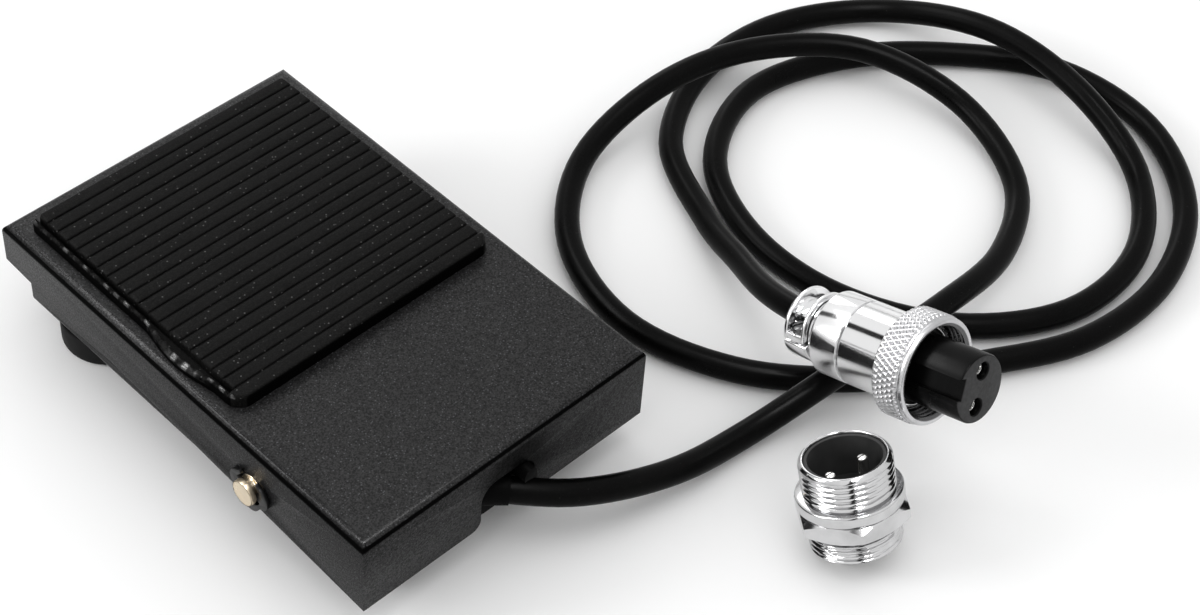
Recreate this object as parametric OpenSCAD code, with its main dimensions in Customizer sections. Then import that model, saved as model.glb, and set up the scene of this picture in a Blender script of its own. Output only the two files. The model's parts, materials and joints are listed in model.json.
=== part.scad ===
// Foot pedal for a sewing machine: a folded metal cover with a ribbed tread pad
// tilts on a cross pin over a folded base pan, two return springs hold it up,
// and a striker works a miniature snap switch. A cord leaves the rear wall and
// ends in a round two-contact plug; the panel socket that mates with it stands
// loose beside the pedal.
// Millimetres. +Z up, +Y toward the toe (pad) end, floor at z = 0.

/* [Pedal cover] */
// Width of the folded cover
cover_w = 63; // [62:0.5:66]
// Length of the folded cover
cover_l = 95; // [95:0.5:99]
// Height of the cover's top face above the floor
cover_top = 22.8; // [22.6:0.1:23.6]
// Sheet thickness of cover and base
sheet = 1.2; // [1:0.1:1.3]
// Outside radius of the cover's folds
bend_r = 1.6; // [1.5:0.1:2.6]
// Height of the skirt's lower edge at the toe
skirt_toe_z = 14.3; // [13.5:0.1:15]
// Height of the skirt's lower edge at the rear
skirt_rear_z = 6.7; // [6.3:0.1:7.2]
// Width of the cord notch in the rear skirt
notch_w = 12; // [11.6:0.1:14]

/* [Tread pad] */
// Width of the ribbed pad
pad_w = 56.6; // [50:0.2:58]
// Length of the ribbed pad
pad_l = 56; // [50:0.2:56]
// Thickness of the pad over its ribs
pad_t = 2.8; // [2:0.1:3.6]
// Number of ribs
rib_count = 20; // [14:1:24]
// Width of the groove between two ribs
groove_w = 0.7; // [0.4:0.1:1]

/* [Base] */
// Width of the base pan
base_w = 60; // [58.5:0.1:60]
// Diameter of a rubber foot
foot_d = 17; // [14:0.5:18]
// Height of a rubber foot
foot_h = 5.7; // [5.6:0.1:5.8]

/* [Pivot] */
// Diameter of the cross pin
pin_d = 5; // [4.4:0.1:5.4]
// Length of pin showing outside the cover on each side
pin_out = 2.2; // [2:0.1:4.5]
// Outside diameter of a retaining clip
clip_d = 9.6; // [9:0.1:10.4]

/* [Return springs] */
// Outside diameter of a return spring
spring_d = 9; // [8.4:0.1:9.6]
// Wire diameter of a return spring
spring_wire = 1; // [0.8:0.1:1.2]
// Turns of a return spring
spring_turns = 6; // [4:1:7]

/* [Cord] */
// Diameter of the cord
cord_d = 4.8; // [4.6:0.05:4.85]

/* [Plug] */
// Diameter of the plug's barrel
barrel_d = 15.2; // [15:0.05:15.3]
// Length of the plug over its insert
plug_l = 38; // [37:0.1:39]
// Diameter of the coupling ring
ring_d = 19.6; // [19:0.1:20.4]
// Length of the coupling ring
ring_l = 6.8; // [6.4:0.1:7.4]

/* [Panel socket] */
// Thread diameter of the panel socket
thread_d = 16; // [15.8:0.05:16]
// Diameter of the socket's flange
flange_d = 18.5; // [18:0.1:20]
// Nut size across flats
nut_af = 18; // [17.5:0.1:18.4]

/* [Hidden] */
$fn = 48;
e = 0.01;
half_w = cover_w/2;
half_l = cover_l/2;
plate_under = cover_top - sheet;
skirt_slope = (skirt_toe_z - skirt_rear_z)/cover_l;
// cross pin
piv_y = -20;
piv_z = 13.1;
pin_r = pin_d/2;
pin_x = half_w + pin_out;
// base pan
base_x = base_w/2;
base_rear = -45.4;
base_toe = 43.2;
base_z = 5.7;
floor_z = base_z + sheet;
base_bend = 1.6;
rear_wall_z = plate_under - 0.3;
side_wall_z = 19.2;
toe_wall_z = 15.8;
foot_x1 = 21.5;
foot_x2 = 18;
foot_y1 = 33;
foot_y2 = -35;
feet = [[-foot_x1, foot_y1], [foot_x1, foot_y1], [-foot_x2, foot_y2], [foot_x2, foot_y2]];
// springs
spring_x = 14;
spring_y = 20;
spring_r = (spring_d - spring_wire)/2;
seat_z = floor_z + 0.8;
spring_z1 = seat_z + spring_wire/2 + 0.05;
spring_z2 = plate_under - spring_wire/2 - 0.05;
// switch
sw_x = -0.4;
lev_y = -11.8;
lev_z = 18.75;
lev_up = 6.83;
striker_y = 4;
striker_z = 20.44;
sw_screw_y = [-7.7, 1.8];
sw_screw_z = 9.2;
rivets = [[-10, -8], [-10, 2]];
// cord and gland
cord_r = cord_d/2;
gl_x = -1.5;
gl_y = -44.8;
gl_z = 11;
gl_yaw = -44.3;
clip_pos = [-8.35, -36.7, 11];
clip_yaw = 39.3;
clip_arm = 7.6;
// plug: rear end of its axis, then the turn that lays the axis along it
plug_at = [63.13, -56.5, 14.9];
plug_turn = [0, 72, -88.5];
barrel_r = barrel_d/2;
ring_r = ring_d/2;
ring_s = 22.4;
nose_r = 6.15;
contact_turn = 155;
key_turn = 240;
contact_off = 3.2;
// panel socket: centre of its lower rim, leaning on its rim and two tails
sock_lean = 21.5;
thread_r = thread_d/2;
sock_at = [41.5, -89.4, thread_r*sin(sock_lean)];
sock_turn = [0, sock_lean, 82];
tail_l = (thread_r - 1)*tan(sock_lean) - 0.02;

// points the cord is led through, from its inner end to the plug
route = [
    [-10.5, -34, 11], [-1.5, -45, 11], [10.5, -54.5, 8.8], [27.5, -59.5, 4.8],
    [45.5, -61, 2.6], [67, -65, 7.6], [89.5, -66.5, 7.7], [111.5, -63.5, 4.2],
    [130, -52, 2.4], [137.5, -31.5, 4.4], [131.5, -10.5, 7.5], [114.5, 4, 7.8],
    [93, 9, 7.2], [71, 7, 3.2], [54, -7, 2.4], [47.5, -28, 2.4],
    [54, -49, 2.4], [69, -65.5, 2.4], [88, -77.5, 2.4], [108, -87, 2.4],
    [130, -87.5, 2.4], [150, -78, 2.4], [162.5, -59.5, 2.4], [162, -37.5, 2.4],
    [149, -19.5, 2.4], [131.5, -6, 2.4], [110, -0.5, 2.4], [90.5, -9.5, 2.4],
    [81, -28, 2.4], [81.5, -49, 2.4], [92, -68.5, 2.4], [111, -80.5, 2.4],
    [132.5, -79.5, 2.4], [150, -66, 2.8], [156, -45, 7], [155.5, -23, 7.8],
    [148, -2.5, 3.4], [129.5, 9.5, 2.4], [107.5, 10, 2.4], [87.5, -0.5, 2.4],
    [77.3, -19.6, 2.9], [71.8, -33, 6], [66.6, -45.2, 10.3], [63.25, -61.16, 16.41]
];
// points each inner lead is led through, from the cord's end to its terminal
lead_a = [[-11.2, -34.4, 11], [-13, -29, 9.8], [-8.5, -23, 8.6], [0, -18.2, 8.6],
    [7.5, -14.8, 9.6], [12, -12.8, 12], [11.2, -11.2, 13.1], [8.02, -10.95, 13.3]];
lead_b = [[-9.8, -33.4, 11], [-9.5, -28.5, 9.8], [-4, -24.5, 8.6], [4, -21, 8.6],
    [12, -17, 8.6], [17.5, -9, 9], [16.5, 0, 10.2], [12.5, 4, 11.5], [8.02, 4.3, 11.63]];

// point on the smooth curve through pts, in span i at fraction t
function pick(pts, i) = let(n = len(pts))
    i < 0 ? 2*pts[0] - pts[1] : i >= n ? 2*pts[n-1] - pts[n-2] : pts[i];
function span(pts, i, t) = let(a = pick(pts, i-1), b = pick(pts, i), c = pick(pts, i+1), d = pick(pts, i+2))
    0.5*(2*b + (c - a)*t + (2*a - 5*b + 4*c - d)*t*t + (3*b - a - 3*c + d)*t*t*t);
function smooth(pts, sub) = concat(
    [for (i = [0:len(pts)-2], j = [0:sub-1]) span(pts, i, j/sub)], [pts[len(pts)-1]]);
function above(pts, z) = [for (p = pts) [p[0], p[1], max(p[2], z)]];
function unit(v) = v/norm(v);
// rings of sides points square to a path, and the skin over them
function tangent(p, i) = unit(i == 0 ? p[1] - p[0] : i == len(p)-1 ? p[i] - p[i-1] : p[i+1] - p[i-1]);
function ring_at(p, i, r, sides) = let(t = tangent(p, i), u = unit(cross(t, [0, 0, 1])), v = cross(u, t))
    [for (k = [0:sides-1]) let(a = 360*(k + 0.5)/sides) p[i] + r*cos(a)*u + r*sin(a)*v];
function skin(n, sides) = concat(
    [[for (k = [0:sides-1]) k]],
    [for (i = [0:n-2], k = [0:sides-1]) let(a = i*sides + k, b = i*sides + (k+1)%sides) [a, a + sides, b + sides]],
    [for (i = [0:n-2], k = [0:sides-1]) let(a = i*sides + k, b = i*sides + (k+1)%sides) [a, b + sides, b]],
    [[for (k = [sides-1:-1:0]) (n-1)*sides + k]]);
module tube(p, r, sides) {
    polyhedron(points = [for (i = [0:len(p)-1], q = ring_at(p, i, r, sides)) q],
        faces = skin(len(p), sides));
}

module along_x(x1, x2, r) { translate([x1, 0, 0]) rotate([0, 90, 0]) cylinder(h = x2 - x1, r = r); }
module along_y(y1, y2, r) { translate([0, y2, 0]) rotate([90, 0, 0]) cylinder(h = y2 - y1, r = r); }
module box(lo, hi) { translate(lo) cube(hi - lo); }

// ---- pedal ----

// long side of a folded tray, run across x; the lower edge slopes from rear to toe
module tray_side(l, w, top, r, z_rear, z_toe) {
    rotate([90, 0, 90]) translate([0, 0, -w/2]) linear_extrude(w) union() {
        polygon([[-l/2, z_rear], [l/2, z_toe], [l/2, top - r], [l/2 - r, top], [r - l/2, top], [-l/2, top - r]]);
        for (s = [-1, 1]) translate([s*(l/2 - r), top - r]) circle(r = r);
    }
}
// front of a folded tray, run along y
module tray_front(l, w, top, r) {
    rotate([90, 0, 0]) translate([0, 0, -l/2]) linear_extrude(l) union() {
        polygon([[-w/2, 1], [w/2, 1], [w/2, top - r], [w/2 - r, top], [r - w/2, top], [-w/2, top - r]]);
        for (s = [-1, 1]) translate([s*(w/2 - r), top - r]) circle(r = r);
    }
}
module cord_notch() {
    r = 3.5;
    top = 16.2;
    foot_r = 2;
    translate([0, -half_l - 1, 0]) union() {
        for (s = [-1, 1]) difference() {
            translate([s*notch_w/2 - foot_r, 0, 0]) cube([2*foot_r, 4, skirt_rear_z + foot_r]);
            translate([s*(notch_w/2 + foot_r), 0, skirt_rear_z + foot_r]) along_y(-1, 5, foot_r);
        }
        box([-notch_w/2, 0, 0], [notch_w/2, 4, top - r]);
        box([r - notch_w/2, 0, 0], [notch_w/2 - r, 4, top]);
        for (s = [-1, 1]) translate([s*(notch_w/2 - r), 0, top - r]) along_y(0, 4, r);
    }
}
module cover() color([0.15, 0.15, 0.16]) difference() {
    intersection() {
        tray_side(cover_l, cover_w + 2, cover_top, bend_r, skirt_rear_z, skirt_toe_z);
        tray_front(cover_l + 2, cover_w, cover_top, bend_r);
    }
    intersection() {
        tray_side(cover_l - 2*sheet, cover_w + 2, cover_top - sheet, bend_r - sheet, 0, 0);
        tray_front(cover_l + 2, cover_w - 2*sheet, cover_top - sheet, bend_r - sheet);
    }
    cord_notch();
    translate([0, piv_y, piv_z]) along_x(-half_w - 1, half_w + 1, pin_r + 0.05);
}

// flexible pad: a thin sheet with straight ribs across it
pad_y0 = 15.05 - pad_l/2;
module tread_pad() color([0.04, 0.04, 0.04]) {
    pitch = pad_l/rib_count;
    base_t = 1;
    union() {
        difference() {
            translate([-pad_w/2, pad_y0, cover_top]) cube([pad_w, pad_l, base_t]);
            for (s = [-1, 1]) translate([s*pad_w/2, pad_y0, cover_top]) difference() {
                cube([6, 6, 4*base_t], center = true);
                translate([-s*3, 3, 0]) cylinder(h = 6*base_t, r = 3, center = true);
            }
        }
        for (i = [0:rib_count-1]) {
            inset = i == 0 ? 2.4 : 0.7;
            box([inset - pad_w/2, pad_y0 + i*pitch + groove_w/2, cover_top + base_t/2],
                [pad_w/2 - inset, pad_y0 + (i + 1)*pitch - groove_w/2, cover_top + pad_t]);
        }
    }
}
module spring_pegs() color([0.5, 0.5, 0.52]) for (s = [-1, 1])
    translate([s*spring_x, spring_y, plate_under - 2.8]) union() {
        cylinder(h = 2.8, r = spring_r - spring_wire/2 - 0.9);
        translate([0, 0, -0.5]) cylinder(h = 0.5, r1 = spring_r - spring_wire/2 - 1.4, r2 = spring_r - spring_wire/2 - 0.9);
    }
module striker_stud() color([0.5, 0.5, 0.52])
    translate([sw_x, striker_y, striker_z]) cylinder(h = plate_under - striker_z, r = 2);

// ---- base ----

module gland_slot(y1, y2, r) {
    translate([gl_x, 0, gl_z]) union() {
        for (s = [-1, 1]) translate([s*1.9, 0, 0]) along_y(y1, y2, r);
        box([-1.9, y1, -r], [1.9, y2, r]);
    }
}
module base_pan() color([0.13, 0.13, 0.14]) difference() {
    intersection() {
        rotate([90, 0, 90]) translate([0, 0, -base_x - 1]) linear_extrude(base_w + 2) union() {
            polygon([[base_rear, base_z + base_bend], [base_rear + base_bend, base_z], [base_toe - base_bend, base_z],
                [base_toe, base_z + base_bend], [base_toe, toe_wall_z], [-10, side_wall_z],
                [base_rear + sheet, side_wall_z], [base_rear + sheet, rear_wall_z], [base_rear, rear_wall_z]]);
            translate([base_rear + base_bend, base_z + base_bend]) circle(r = base_bend);
            translate([base_toe - base_bend, base_z + base_bend]) circle(r = base_bend);
        }
        rotate([90, 0, 0]) translate([0, 0, -60]) linear_extrude(120) union() {
            polygon([[-base_x, base_z + base_bend], [base_bend - base_x, base_z], [base_x - base_bend, base_z],
                [base_x, base_z + base_bend], [base_x, 30], [-base_x, 30]]);
            for (s = [-1, 1]) translate([s*(base_x - base_bend), base_z + base_bend]) circle(r = base_bend);
        }
    }
    box([sheet - base_x, base_rear + sheet, floor_z], [base_x - sheet, base_toe - sheet, 40]);
    translate([0, piv_y, piv_z]) along_x(-base_x - 1, base_x + 1, pin_r + 0.02);
    for (f = feet) translate([f[0], f[1], base_z - 1]) cylinder(h = 4, r = 2.05);
    for (p = rivets) translate([p[0], p[1], base_z - 1]) cylinder(h = 4, r = 1.25);
    clip_screw_at() translate([0, 0, base_z - 1]) cylinder(h = 4, r = 1.45);
    gland_slot(base_rear - 1, base_rear + sheet + 1, 3.5);
}
module rubber_feet() color([0.05, 0.05, 0.05]) for (f = feet) translate([f[0], f[1], 0]) difference() {
    union() {
        cylinder(h = 0.6, r1 = foot_d/2 - 0.6, r2 = foot_d/2);
        translate([0, 0, 0.6]) cylinder(h = foot_h - 0.6, r = foot_d/2);
    }
    translate([0, 0, -1]) cylinder(h = 4, r = 4.3);
    cylinder(h = foot_h + 1, r = 2.1);
}
module foot_screws() color([0.6, 0.6, 0.62]) for (f = feet) translate([f[0], f[1], 0]) difference() {
    union() {
        translate([0, 0, 1.8]) cylinder(h = 1.2, r = 3.8);
        translate([0, 0, 1.2]) cylinder(h = 0.6, r1 = 3, r2 = 3.8);
        translate([0, 0, 3]) cylinder(h = 7, r = 2);
    }
    for (a = [0, 90]) rotate([0, 0, a]) translate([-2, -0.45, 1]) cube([4, 0.9, 1.1]);
}
module foot_nuts() color([0.6, 0.6, 0.62]) for (f = feet) translate([f[0], f[1], floor_z]) difference() {
    cylinder(h = 2.2, r = 7/2/cos(30), $fn = 6);
    translate([0, 0, -1]) cylinder(h = 5, r = 2.02);
}
module pivot_pin() color([0.72, 0.55, 0.25]) translate([0, piv_y, piv_z]) difference() {
    union() {
        along_x(0.5 - pin_x, pin_x - 0.5, pin_r);
        translate([pin_x - 0.5, 0, 0]) rotate([0, 90, 0]) cylinder(h = 0.5, r1 = pin_r, r2 = pin_r - 0.5);
        translate([0.5 - pin_x, 0, 0]) rotate([0, -90, 0]) cylinder(h = 0.5, r1 = pin_r, r2 = pin_r - 0.5);
    }
    for (s = [-1, 1]) translate([s*(half_w + 0.55), 0, 0]) difference() {
        along_x(-0.45, 0.45, pin_r + 1);
        along_x(-1, 1, pin_r - 0.55);
    }
}
// one clip, flat in x: a ring open at the top with three inner lobes
module retaining_clips() color([0.08, 0.08, 0.08]) for (s = [-1, 1])
    translate([s*(half_w + 0.55), piv_y, piv_z]) difference() {
        union() {
            difference() {
                along_x(-0.4, 0.4, clip_d/2);
                along_x(-1, 1, clip_d/2 - 1.5);
            }
            for (a = [0, 180, 270]) rotate([a, 0, 0])
                translate([-0.4, pin_r - 0.8, -1]) cube([0.8, clip_d/2 - pin_r, 2]);
        }
        along_x(-1, 1, pin_r - 0.5);
        translate([-1, -1.7, pin_r - 0.4]) cube([2, 3.4, clip_d]);
    }

// ---- springs ----

function coil(x, y) = let(n = spring_turns*14)
    [for (i = [0:n]) [x + spring_r*cos(360*i/14), y + spring_r*sin(360*i/14), spring_z1 + (spring_z2 - spring_z1)*i/n]];
module return_springs() color([0.6, 0.6, 0.62]) {
    tube(coil(-spring_x, spring_y), spring_wire/2, 8);
    tube(coil(spring_x, spring_y), spring_wire/2, 8);
}
module spring_seats() color([0.5, 0.5, 0.52]) for (s = [-1, 1]) translate([s*spring_x, spring_y, floor_z]) union() {
    cylinder(h = 0.8, r = spring_d/2 + 1.1);
    cylinder(h = 2.6, r = spring_r - spring_wire/2 - 0.7);
}

// ---- snap switch ----

module switch_bracket() color([0.55, 0.55, 0.57]) difference() {
    union() {
        box([-4.2, -12.5, floor_z], [-3.2, 6.5, 15]);
        box([-14, -12.5, floor_z], [-3.2, 6.5, floor_z + 1]);
    }
    for (y = sw_screw_y) translate([0, y, sw_screw_z]) along_x(-6, -2, 1.2);
    for (p = rivets) translate([p[0], p[1], 5]) cylinder(h = 5, r = 1.25);
}
module bracket_rivets() color([0.65, 0.65, 0.66]) for (p = rivets) translate([p[0], p[1], 0]) union() {
    translate([0, 0, floor_z + 1]) cylinder(h = 1, r1 = 2.2, r2 = 1.6);
    translate([0, 0, base_z - 0.8]) cylinder(h = sheet + 1.8 + 0.2, r = 1.2);
    translate([0, 0, base_z - 0.8]) cylinder(h = 0.8, r = 1.9);
}
module switch_case() color([0.1, 0.1, 0.11]) difference() {
    union() {
        box([-3.2, -13, 7.4], [2.4, 6.8, 17.6]);
        for (x = [-3.2, 1.4]) {
            box([x, -12.9, 17], [x + 1, -10.7, lev_z]);
            translate([0, lev_y, lev_z]) along_x(x, x + 1, 1.1);
        }
    }
    box([-2.2, -12, 11.2], [3, 5.8, 16.6]);
    for (y = sw_screw_y) translate([0, y, sw_screw_z]) along_x(-4, 4, 1.2);
    translate([sw_x, -5, 16]) cylinder(h = 3, r = 1.25);
    translate([0, lev_y, lev_z]) along_x(-4, 4, 0.62);
}
module switch_side_cover() color([0.12, 0.12, 0.13]) difference() {
    box([2.4, -13, 7.4], [3.2, 6.8, 17.6]);
    box([2, 2.95, 13.85], [4, 5.65, 14.45]);
    box([2, 2.95, 11.33], [4, 5.65, 11.93]);
    box([2, -12.05, 13], [4, -9.85, 13.6]);
    for (y = sw_screw_y) translate([0, y, sw_screw_z]) along_x(0, 4, 1.2);
}
module switch_plunger() color([0.7, 0.1, 0.1]) translate([sw_x, -5, 0]) union() {
    translate([0, 0, 14.2]) cylinder(h = 4.05, r = 1.2);
    translate([0, 0, 14.2]) cylinder(h = 0.7, r = 1.6);
    translate([0, 0, 18.25]) cylinder(h = 0.3, r1 = 1.2, r2 = 0.8);
}
module switch_lever() color([0.7, 0.7, 0.72]) translate([0, lev_y, lev_z]) rotate([lev_up, 0, 0]) difference() {
    union() {
        box([sw_x - 1.5, 0.4, -0.85], [sw_x + 1.5, 19.8, -0.45]);
        along_x(sw_x - 1.5, sw_x + 1.5, 1);
    }
    along_x(-4, 4, 0.65);
}
module lever_pin() color([0.6, 0.6, 0.62]) translate([0, lev_y, lev_z]) along_x(-3.4, 2.6, 0.6);
module contact_blade() color([0.75, 0.55, 0.3]) union() {
    box([sw_x - 1, -9.6, 13.15], [sw_x + 1, 5.2, 13.45]);
    translate([sw_x, 4.3, 12.8]) cylinder(h = 0.9, r = 0.9);
}
module fixed_contacts() color([0.8, 0.8, 0.78]) for (z = [11.33, 13.85]) difference() {
    box([-1.5, 3, z], [8, 5.6, z + 0.6]);
    translate([6.8, 4.3, z - 1]) cylinder(h = 3, r = 0.6);
}
module common_terminal() color([0.8, 0.8, 0.78]) difference() {
    box([-1, -12, 13], [8, -9.9, 13.6]);
    translate([6.8, -10.95, 12]) cylinder(h = 3, r = 0.6);
}
module switch_screws() color([0.6, 0.6, 0.62]) for (y = sw_screw_y) translate([0, y, sw_screw_z]) difference() {
    union() {
        along_x(3.2, 4.4, 1.9);
        along_x(-4.6, 3.3, 1.15);
    }
    translate([4, -2, -0.25]) cube([1, 4, 0.5]);
}

// ---- cord ----

module gland_axis() { translate([gl_x, gl_y, gl_z]) rotate([0, 0, gl_yaw]) rotate([0, 94.3, 0]) children(); }
module cord_gland() color([0.05, 0.05, 0.05]) difference() {
    union() {
        gland_slot(base_rear, base_rear + sheet, 3.48);
        gland_slot(base_rear + sheet, base_rear + sheet + 1.4, 4.05);
        gland_slot(base_rear - 0.4, base_rear, 4.05);
        gland_axis() translate([0, 0, -4]) cylinder(h = 7.2, r1 = 3.4, r2 = 2.75);
        translate([2.3, -49.1, 11]) cube([2.7, 49.1 + base_rear, 3.2]);
        translate([3.65, 0, 14.2]) along_y(-49.1, base_rear, 1.35);
    }
    gland_axis() translate([0, 0, -12]) cylinder(h = 30, r = cord_r + 0.02);
}
module clip_screw_at() { translate([clip_pos[0], clip_pos[1], 0]) rotate([0, 0, clip_yaw]) translate([clip_arm, 0, 0]) children(); }
// one strap round the cord, with a tab screwed to the base
module cord_clip() color([0.6, 0.6, 0.62]) translate([clip_pos[0], clip_pos[1], 0]) rotate([0, 0, clip_yaw]) difference() {
    union() {
        translate([0, 0, clip_pos[2]]) along_y(-2, 2, 3.25);
        box([0, -2, floor_z], [clip_arm + 2.6, 2, floor_z + 0.85]);
        box([0, -2, floor_z], [1.2, 2, clip_pos[2] - 2]);
    }
    translate([0, 0, clip_pos[2]]) along_y(-3, 3, cord_r + 0.05);
    translate([clip_arm, 0, 5]) cylinder(h = 5, r = 1.5);
}
module cord_clip_screw() color([0.6, 0.6, 0.62]) clip_screw_at() difference() {
    union() {
        translate([0, 0, floor_z + 0.85]) cylinder(h = 1.4, r = 2.4);
        translate([0, 0, 4.8]) cylinder(h = floor_z - 4.8 + 1, r = 1.4);
    }
    for (a = [0, 90]) rotate([0, 0, a]) translate([-1.5, -0.35, floor_z + 1.5]) cube([3, 0.7, 2]);
}
module inner_leads() color([0.1, 0.1, 0.1]) {
    tube(smooth(lead_a, 3), 0.75, 8);
    tube(smooth(lead_b, 3), 0.75, 8);
}
module cord() color([0.04, 0.04, 0.04]) tube(above(smooth(route, 2), cord_r), cord_r, 10);

// ---- plug, its axis from the rear clamp (0) to the face ----

module plug_pose() { translate(plug_at) rotate(plug_turn) children(); }
module bar(s1, s2, r) { translate([0, 0, s1]) cylinder(h = s2 - s1, r = r); }
module plug_shell() color([0.8, 0.8, 0.82]) plug_pose() difference() {
    union() {
        bar(8.9, 13, 6.55);
        bar(12.9, 13.5, barrel_r - 0.4);
        bar(13.45, ring_s + 1.9, barrel_r);
        bar(ring_s + 1.9, ring_s + 3.3, barrel_r + 0.15);
    }
    bar(8, 18, 5.6);
    bar(18, 30, 6.82);
}
module plug_rear_shell() color([0.8, 0.8, 0.82]) plug_pose() difference() {
    union() {
        translate([0, 0, 6.4]) cylinder(h = 0.8, r1 = barrel_r - 0.8, r2 = barrel_r);
        bar(7.2, 12.9, barrel_r);
        bar(4.9, 6.8, 5.3);
        difference() {
            bar(0, 5, 6.4);
            box([-7, -7, -1], [0.3, 7, 6]);
        }
    }
    bar(7.6, 14, 6.6);
    bar(-1, 8, cord_r + 0.05);
    for (s = [-1, 1]) translate([-1, s*4.3, 2.5]) along_x(0, 3.6, 0.9);
}
module plug_insert() color([0.05, 0.05, 0.05]) plug_pose() difference() {
    union() {
        bar(18, ring_s + 3.3, 6.8);
        bar(ring_s + 3.2, plug_l, nose_r);
    }
    rotate([0, 0, key_turn]) translate([nose_r - 1.5, -1.75, ring_s + 3.6]) cube([4, 3.5, 20]);
    rotate([0, 0, contact_turn]) for (s = [-1, 1]) translate([s*contact_off, 0, 0]) bar(10, 40, 1.52);
}
module plug_contacts() color([0.75, 0.6, 0.3]) plug_pose() rotate([0, 0, contact_turn])
    for (s = [-1, 1]) translate([s*contact_off, 0, 0]) difference() {
        union() {
            bar(18, plug_l - 2.2, 1.5);
            bar(13, 18.1, 1.1);
        }
        bar(27, 40, 1.05);
        translate([0, -0.2, 30]) cube([3, 0.4, 10]);
    }
module coupling_ring() color([0.82, 0.82, 0.84]) plug_pose() difference() {
    union() {
        bar(ring_s, ring_s + ring_l - 1.3, ring_r);
        bar(ring_s + ring_l - 1.4, ring_s + ring_l, ring_r - 0.25);
    }
    bar(ring_s - 1, ring_s + 1.7, barrel_r + 0.06);
    bar(ring_s + 1.6, ring_s + 20, thread_r + 0.1);
    for (i = [1:3]) difference() {
        bar(ring_s + i*1.65 - 0.2, ring_s + i*1.65 + 0.2, ring_r + 1);
        bar(ring_s, ring_s + ring_l, ring_r - 0.3);
    }
}
module cable_saddle() color([0.8, 0.8, 0.82]) plug_pose() difference() {
    intersection() {
        bar(0.2, 4.7, 6.4);
        box([-7, -7, 0], [-0.3, 7, 6]);
    }
    bar(-1, 8, cord_r + 0.05);
    for (s = [-1, 1]) translate([0, s*4.3, 2.5]) {
        along_x(-8, -1.5, 1.6);
        along_x(-3, 1, 0.95);
    }
}
module saddle_screws() color([0.7, 0.7, 0.72]) plug_pose() for (s = [-1, 1]) translate([0, s*4.3, 2.5]) difference() {
    union() {
        along_x(-2.7, -1.5, 1.45);
        along_x(-1.6, 2.2, 0.85);
    }
    translate([-3, -2, -0.25]) cube([0.8, 4, 0.5]);
}

// ---- panel socket, its axis from the lower rim (0) to the mouth ----

module sock_pose() { translate(sock_at) rotate(sock_turn) children(); }
module socket_shell() color([0.8, 0.8, 0.82]) sock_pose() difference() {
    union() {
        bar(0, 8.4, thread_r);
        bar(8.3, 10.5, flange_d/2);
        bar(10.4, 16.4, thread_r);
        translate([0, 0, 16.4]) cylinder(h = 0.6, r1 = thread_r, r2 = thread_r - 0.5);
    }
    bar(-1, 30, 7);
}
module socket_insert() color([0.05, 0.05, 0.05]) sock_pose() difference() {
    bar(0.4, 16.6, 6.98);
    bar(9, 20, 6.35);
    for (s = [-1, 1]) translate([0, s*3.5, 0]) bar(-1, 20, 1.02);
}
module socket_pins() color([0.8, 0.75, 0.6]) sock_pose() for (s = [-1, 1]) translate([0, s*3.5, 0]) difference() {
    rotate_extrude() polygon([[0, -tail_l], [1, -tail_l], [1, 14.4], [0.55, 15], [0, 15]]);
    translate([-0.15, -2, 12]) cube([0.3, 4, 5]);
    translate([-2, -0.35, -tail_l - 1]) cube([2, 0.7, 2.6]);
}
module socket_nut() color([0.82, 0.82, 0.84]) sock_pose() difference() {
    intersection() {
        translate([0, 0, 5]) cylinder(h = 3.2, r = nut_af/2/cos(30), $fn = 6);
        union() {
            translate([0, 0, 5]) cylinder(h = 0.7, r1 = nut_af/2 + 0.1, r2 = nut_af/2 + 1.5);
            bar(5.7, 9, nut_af/2 + 1.5);
        }
    }
    bar(0, 12, thread_r + 0.06);
}

// [what to draw] one node by name, or all
cover();
tread_pad();
base_pan();
rubber_feet();
foot_screws();
foot_nuts();
pivot_pin();
retaining_clips();
return_springs();
spring_seats();
spring_pegs();
striker_stud();
switch_bracket();
bracket_rivets();
switch_case();
switch_side_cover();
switch_plunger();
switch_lever();
lever_pin();
contact_blade();
fixed_contacts();
common_terminal();
switch_screws();
cord_gland();
cord_clip();
cord_clip_screw();
inner_leads();
cord();
plug_shell();
plug_rear_shell();
plug_insert();
plug_contacts();
coupling_ring();
cable_saddle();
saddle_screws();
socket_shell();
socket_insert();
socket_pins();
socket_nut();
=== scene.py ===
import json
import math
import bpy
import bmesh
from mathutils import Matrix, Vector


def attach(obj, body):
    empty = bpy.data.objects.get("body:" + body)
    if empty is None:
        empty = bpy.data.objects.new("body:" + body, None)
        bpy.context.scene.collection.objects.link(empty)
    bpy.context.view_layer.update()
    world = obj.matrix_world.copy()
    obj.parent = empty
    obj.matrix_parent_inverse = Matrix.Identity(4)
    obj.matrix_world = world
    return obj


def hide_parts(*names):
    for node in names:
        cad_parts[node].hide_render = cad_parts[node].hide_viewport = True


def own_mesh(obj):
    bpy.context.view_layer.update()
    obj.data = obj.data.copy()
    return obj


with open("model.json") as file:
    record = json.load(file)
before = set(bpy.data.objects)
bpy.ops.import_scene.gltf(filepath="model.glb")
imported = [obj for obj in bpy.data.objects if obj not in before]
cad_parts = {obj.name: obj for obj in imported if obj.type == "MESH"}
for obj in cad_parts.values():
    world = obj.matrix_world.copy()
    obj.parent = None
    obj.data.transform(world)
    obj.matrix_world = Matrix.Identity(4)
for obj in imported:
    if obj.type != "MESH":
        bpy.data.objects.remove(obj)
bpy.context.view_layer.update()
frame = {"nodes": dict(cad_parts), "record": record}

MM = 0.001
NODES = frame["nodes"]
scene = bpy.context.scene

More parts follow.
